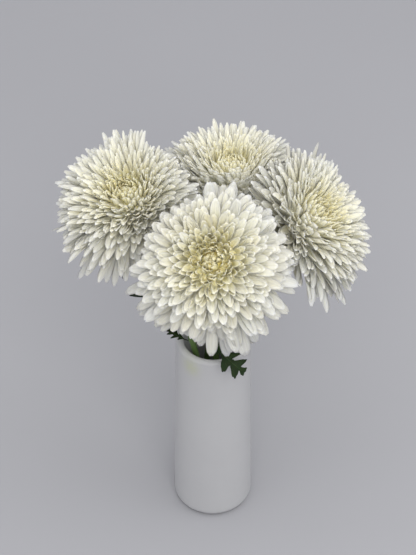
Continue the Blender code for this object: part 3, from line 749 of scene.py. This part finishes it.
# =====================================================================
# stems, calyces, leaves, jar
# =====================================================================
def build_stem(b, mat):
    n, sides = 90, 30
    us = np.concatenate((np.linspace(0, 0.62, 34), np.linspace(0.62, 1.0, 57)[1:]))
    path = np.array([stem_curve(b, u) for u in us])
    tg = norm_rows(np.gradient(path, axis=0))
    ref = np.array((1.0, 0, 0))
    verts, fs, fu = [], [], []
    dist = np.concatenate(([0], np.cumsum(np.linalg.norm(np.diff(path, axis=0), axis=1))))
    joints = [d["z"] for d in LEAVES.values() if d["stem"] == b.name]
    for i, p in enumerate(path):
        t = tg[i]
        ref = unit(ref - t * (ref @ t))
        bn = np.cross(t, ref)
        r = STEM_R * (1.04 - 0.10 * us[i]) * 0.97
        for z in joints:
            r *= 1 + 0.10 * math.exp(-((p[2] - z) / 2.4) ** 2)
        r *= 1 + 0.05 * math.exp(-((dist[i] - dist[-1]) / 4.0) ** 2)
        for kx in range(sides):
            a = 2 * math.pi * kx / sides
            rr = r * (1 + 0.045 * math.cos(6 * a + 0.004 * dist[i]) + 0.012 * math.cos(13 * a))
            verts.append(p + rr * (math.cos(a) * ref + math.sin(a) * bn))
            fs.append(dist[i] / 60.0)
            fu.append(abs(kx / sides * 2 - 1))
    faces = []
    m = len(path)
    for i in range(m - 1):
        for kx in range(sides):
            j = (kx + 1) % sides
            faces.append((i * sides + kx, i * sides + j, (i + 1) * sides + j, (i + 1) * sides + kx))
    for i, sign, z in ((0, -1, 0.5), (m - 1, 1, 0.2)):
        cidx = len(verts)
        verts.append(path[i] + tg[i] * sign * 0.0)
        fs.append(dist[i] / 60.0)
        fu.append(0.5)
        for kx in range(sides):
            j = (kx + 1) % sides
            faces.append((i * sides + j, i * sides + kx, cidx) if sign < 0 else (i * sides + kx, i * sides + j, cidx))
    ob = new_object("stalk_" + b.name, np.array(verts), faces, {"fs": fs, "fu": fu}, mat)
    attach(ob, "root")
    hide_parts("stem_" + b.name)
    return ob


def build_calyx(b, mat):
    """Cup with three rows of overlapping green bracts."""
    rng = np.random.RandomState(b.d["seed"] + 500)
    k = b.R / 64.0
    bb = BladeBuilder(("fs", "fu", "fr"))
    # inner cup, closed
    prof = [(0.01, -9.4), (2.3, -9.3), (3.1, -7.6), (5.6 * k, -4.9), (7.2 * k, -2.6), (6.8 * k, -1.6), (0.01, -1.6)]
    seg = 28
    verts, faces = [], []
    for r, z in prof:
        for i in range(seg):
            a = 2 * math.pi * i / seg
            verts.append(b.c + b.a * z + r * (math.cos(a) * b.bx + math.sin(a) * b.by))
    for i in range(len(prof) - 1):
        for j in range(seg):
            q = (j + 1) % seg
            faces.append((i * seg + j, i * seg + q, (i + 1) * seg + q, (i + 1) * seg + j))
    faces.append(tuple(range(seg))[::-1])
    faces.append(tuple((len(prof) - 1) * seg + j for j in range(seg)))
    bb.v.append(np.array(verts))
    bb.f.append(faces)
    for key, val in (("fs", 0.2), ("fu", 0.5), ("fr", 0.5)):
        bb.at[key].append(np.full(len(verts), val))
    for row, (count, z0, length, out) in enumerate(((14, -7.4, 7.0, 0.0), (18, -5.6, 7.0, 0.5), (22, -4.2, 6.0, 1.0))):
        for i in range(count):
            phi = 2 * math.pi * (i + 0.5 * (row % 2)) / count + rng.normal(0, 0.04)
            s = np.linspace(0, 1, 8)
            a1 = math.radians(40 - 12 * row)
            zz = z0 + length * 0.75 * k * s * math.sin(a1) + 1.2 * s ** 2
            r_at = np.interp(zz, [-9.4, -7.6, -4.9, -2.6, 0.5], [2.5, 3.2, 5.7 * k, 7.3 * k, 9.6 * k]) + 0.35
            q2 = np.stack((r_at, zz), 1)
            tg2 = norm_rows(np.gradient(q2, axis=0))
            n2 = np.stack((tg2[:, 1], -tg2[:, 0]), 1)
            e = math.cos(phi) * b.bx + math.sin(phi) * b.by
            f = math.sin(phi) * b.bx - math.cos(phi) * b.by
            q = b.c + q2[:, :1] * e + q2[:, 1:] * b.a
            tg = tg2[:, :1] * e + tg2[:, 1:] * b.a
            ey = n2[:, :1] * e + n2[:, 1:] * b.a
            ex = np.repeat(f[None], 8, 0)
            half = 1.15 * k * np.sqrt(np.clip(1 - (s / 1.02) ** 3, 0.02, 1))
            blade(bb, q, ex, None, ey, tg, half, -half * 0.25, np.full(8, 0.35), half * 0, half * 0, s, 5, fr=rng.uniform())
    ob = bb.object("bracts_" + b.name, mat)
    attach(ob, "root")
    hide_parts("calyx_" + b.name)
    return ob


def lobed(s, sgn, k):
    """Half width of a lobed, toothed leaf along its midrib, 0..1 of the most."""
    base = 0.07 if s < 0.20 else 0.07 + 0.93 * float(smoothstep(0.20, 0.34, s))
    lobes = (0.38 + 0.02 * sgn, 0.60 + 0.02 * sgn, 0.80, 0.955)
    size = (0.62, 1.0, 0.86, 0.34)
    wid = (0.062, 0.078, 0.072, 0.05)
    v = 0.22 * (1 - s) + 0.10
    for c, a, wd in zip(lobes, size, wid):
        x = (s - c) / wd
        v = max(v, a * math.exp(-abs(x) ** 2.6))
    teeth = 0.10 * abs(math.sin(s * 62.0 + sgn)) * (s > 0.28)
    tail = math.sqrt(max(0.0, 1 - max(0.0, (s - 0.90) / 0.10) ** 2))
    return base * (v + teeth) * (0.12 + 0.88 * tail)


def build_leaf(name, d, mat):
    b = BL[d["stem"]]
    curve = [stem_curve(b, u / 400.0) for u in range(401)]
    best = min(curve, key=lambda p: abs(p[2] - d["z"]))
    near = min(curve, key=lambda p: abs(p[2] - d["z"] - 2.0))
    run = unit(near - best)
    mid, tip = np.array(d["mid"]), np.array(d["tip"])
    out = mid - best
    out = unit(out - run * (out @ run))
    start = best + out * (STEM_R + 0.2)
    nv, nu = 120, 15
    rng = np.random.RandomState(len(name) * 7 + int(abs(d["z"])))
    s = np.linspace(0, 1, nv)
    S = s[:, None]
    q = start * (1 - S) ** 2 + mid * 2 * S * (1 - S) + tip * S * S
    tg = norm_rows((mid - start) * 2 * (1 - S) + (tip - mid) * 2 * S)
    side = np.cross(tg[0], (0.0, 0.0, 1.0))
    sides, nrms = [], []
    for t in tg:
        side = unit(side - t * (side @ t))
        sides.append(side)
        nrms.append(np.cross(side, t))
    ex, ey = np.array(sides), np.array(nrms)
    u = np.linspace(-1, 1, nu)
    hl = np.array([lobed(x, -1, 0) for x in s]) * d["w"] * 0.9
    hr = np.array([lobed(x, 1, 1) for x in s]) * d["w"] * 0.9
    ph = rng.uniform(0, 6)
    top = np.zeros((nv, nu, 3))
    for j, uu in enumerate(u):
        h = (hl if uu < 0 else hr) * abs(uu)
        sweep = 0.55 * h * (s > 0.22)
        keel = 0.16 * h
        ripple = 0.05 * d["w"] * abs(uu) ** 1.5 * np.sin(s * 19 + ph + uu * 2) * smoothstep(0.25, 0.5, s)
        top[:, j] = (q + ex * (np.sign(uu) * h)[:, None] + tg * sweep[:, None]
                     + ey * (keel + ripple)[:, None])
    th = np.where(s < 0.24, 1.1, 0.42 + 0.5 * np.exp(-((s - 0.24) / 0.1) ** 2))
    body = th[:, None] * ((1 - np.abs(u[None, :]) ** 2) ** 0.5)[:, 1:-1]
    bot = top[:, 1:-1] - body[..., None] * ey[:, None, :]
    verts = np.vstack((top.reshape(-1, 3), bot.reshape(-1, 3)))
    faces = blade_faces(nv, nu)
    fs = np.concatenate((np.repeat(s, nu), np.repeat(s, nu - 2)))
    fu = np.concatenate((np.tile(u, nv), np.tile(u[1:-1], nv)))
    ob = new_object("foliage_" + name, verts, faces, {"fs": fs, "fu": fu, "fr": np.full(len(verts), 0.5)}, mat)
    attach(ob, "root")
    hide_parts("leaf_" + name)
    return ob


def arc(cx, cz, r, a0, a1, n):
    return [(cx + r * math.cos(math.radians(a0 + (a1 - a0) * i / n)),
             cz + r * math.sin(math.radians(a0 + (a1 - a0) * i / n))) for i in range(n + 1)]


def build_jar(mat):
    ri_top = JAR_R_TOP - JAR_WALL
    ri_base = JAR_R_BASE - JAR_WALL
    prof = [(0.02, 0.0), (10.0, 0.0), (JAR_R_BASE - JAR_FOOT_R - 1.0, 0.0)]
    prof += arc(JAR_R_BASE - JAR_FOOT_R, JAR_FOOT_R, JAR_FOOT_R, -90, 0, 14)
    zt = JAR_H - JAR_LIP_R
    for i in range(1, 24):
        t = i / 24.0
        z = JAR_FOOT_R + (zt - JAR_FOOT_R) * t
        prof.append((JAR_R_BASE + (JAR_R_TOP - JAR_R_BASE) * t + 0.08 * math.sin(t * 9.0), z))
    prof += arc(JAR_R_TOP - JAR_LIP_R, zt, JAR_LIP_R, 0, 90, 10)
    prof += arc(ri_top + JAR_LIP_R, zt, JAR_LIP_R, 90, 180, 10)
    for i in range(1, 12):
        t = i / 12.0
        prof.append((ri_top + (ri_base - ri_top) * t, zt + (JAR_FLOOR + JAR_IN_FILLET - zt) * t))
    prof += arc(ri_base - JAR_IN_FILLET, JAR_FLOOR + JAR_IN_FILLET, JAR_IN_FILLET, 0, -90, 8)
    prof += [(10.0, JAR_FLOOR), (0.02, JAR_FLOOR)]
    seg = 144
    verts = []
    for r, z in prof:
        for i in range(seg):
            a = 2 * math.pi * i / seg
            wob = 1 + 0.0012 * math.sin(2 * a + z * 0.01) * (0 if z < 1 else 1)
            verts.append((r * wob * math.cos(a), r * wob * math.sin(a), z))
    faces = []
    for i in range(len(prof) - 1):
        for j in range(seg):
            q = (j + 1) % seg
            faces.append((i * seg + j, i * seg + q, (i + 1) * seg + q, (i + 1) * seg + j))
    faces.append(tuple(range(seg))[::-1])
    faces.append(tuple((len(prof) - 1) * seg + j for j in range(seg)))
    ob = new_object("jar_body", np.array(verts), faces, {}, mat)
    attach(ob, "root")
    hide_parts("jar")
    return ob


# =====================================================================
# build everything
# =====================================================================
FLORET = floret_material()
LEAF = leaf_material()
STEM = stem_material()
CALYX = calyx_material()
JAR = jar_material()

build_jar(JAR)
for name in BL:
    build_florets(BL[name], FLORET)
    build_stem(BL[name], STEM)
    build_calyx(BL[name], CALYX)
for name, d in LEAVES.items():
    build_leaf(name, d, LEAF)

# =====================================================================
# floor, light, camera
# =====================================================================
def floor():
    m = Mat("studio_floor")
    tc = m.node("ShaderNodeTexCoord")
    n = m.noise(tc.outputs["Object"], 3.0, 3.0, 0.5)
    m.link(m.ramp(n, [(0.3, (0.395, 0.395, 0.415)), (0.7, (0.405, 0.405, 0.425))], "LINEAR"), "Base Color")
    m.set(Roughness=0.9, Specular_IOR_Level=0.1)
    me = bpy.data.meshes.new("studio_floor")
    e = 6.0
    me.from_pydata([(-e, -e, 0), (e, -e, 0), (e, e, 0), (-e, e, 0)], [], [(0, 1, 2, 3)])
    ob = bpy.data.objects.new("studio_floor", me)
    me.materials.append(m.m)
    bpy.context.scene.collection.objects.link(ob)


floor()


def area(name, loc, target, size, power, color):
    li = bpy.data.lights.new(name, "AREA")
    li.shape = "DISK"
    li.size = size
    li.energy = power
    li.color = color
    ob = bpy.data.objects.new(name, li)
    ob.location = loc
    from mathutils import Vector
    ob.rotation_euler = (Vector(target) - Vector(loc)).to_track_quat("-Z", "Y").to_euler()
    bpy.context.scene.collection.objects.link(ob)


area("soft_front", (0.2, -1.5, 1.75), (0, 0, 0.25), 1.4, 16.5, (1.0, 0.99, 0.965))
area("soft_top", (0.1, -0.1, 1.75), (0, 0, 0.2), 2.2, 11.0, (1.0, 0.985, 0.96))
area("soft_front_left", (-1.3, -1.1, 1.5), (0, 0, 0.25), 1.4, 1.5, (0.98, 0.99, 1.0))
area("soft_right", (1.5, -0.3, 1.3), (0, 0, 0.2), 1.4, 4.0, (0.98, 0.99, 1.0))

world = bpy.context.scene.world or bpy.data.worlds.new("studio")
bpy.context.scene.world = world
world.use_nodes = True
bg = world.node_tree.nodes.get("Background")
bg.inputs["Color"].default_value = (0.89, 0.90, 0.94, 1.0)
bg.inputs["Strength"].default_value = 0.70

cam_data = bpy.data.cameras.new("camera")
cam_data.lens = 150.0
cam_data.sensor_width = 36.0
cam = bpy.data.objects.new("camera", cam_data)
bpy.context.scene.collection.objects.link(cam)
ELEV, DIST, TARGET = math.radians(45.0), 1.804, (-0.0041, 0.0, 0.2548)
cam.location = (TARGET[0], TARGET[1] - DIST * math.cos(ELEV), TARGET[2] + DIST * math.sin(ELEV))
cam.rotation_euler = (math.radians(90) - ELEV, 0.0, 0.0)
bpy.context.scene.camera = cam
bpy.context.scene.view_settings.view_transform = "Standard"
bpy.context.scene.view_settings.look = "None"
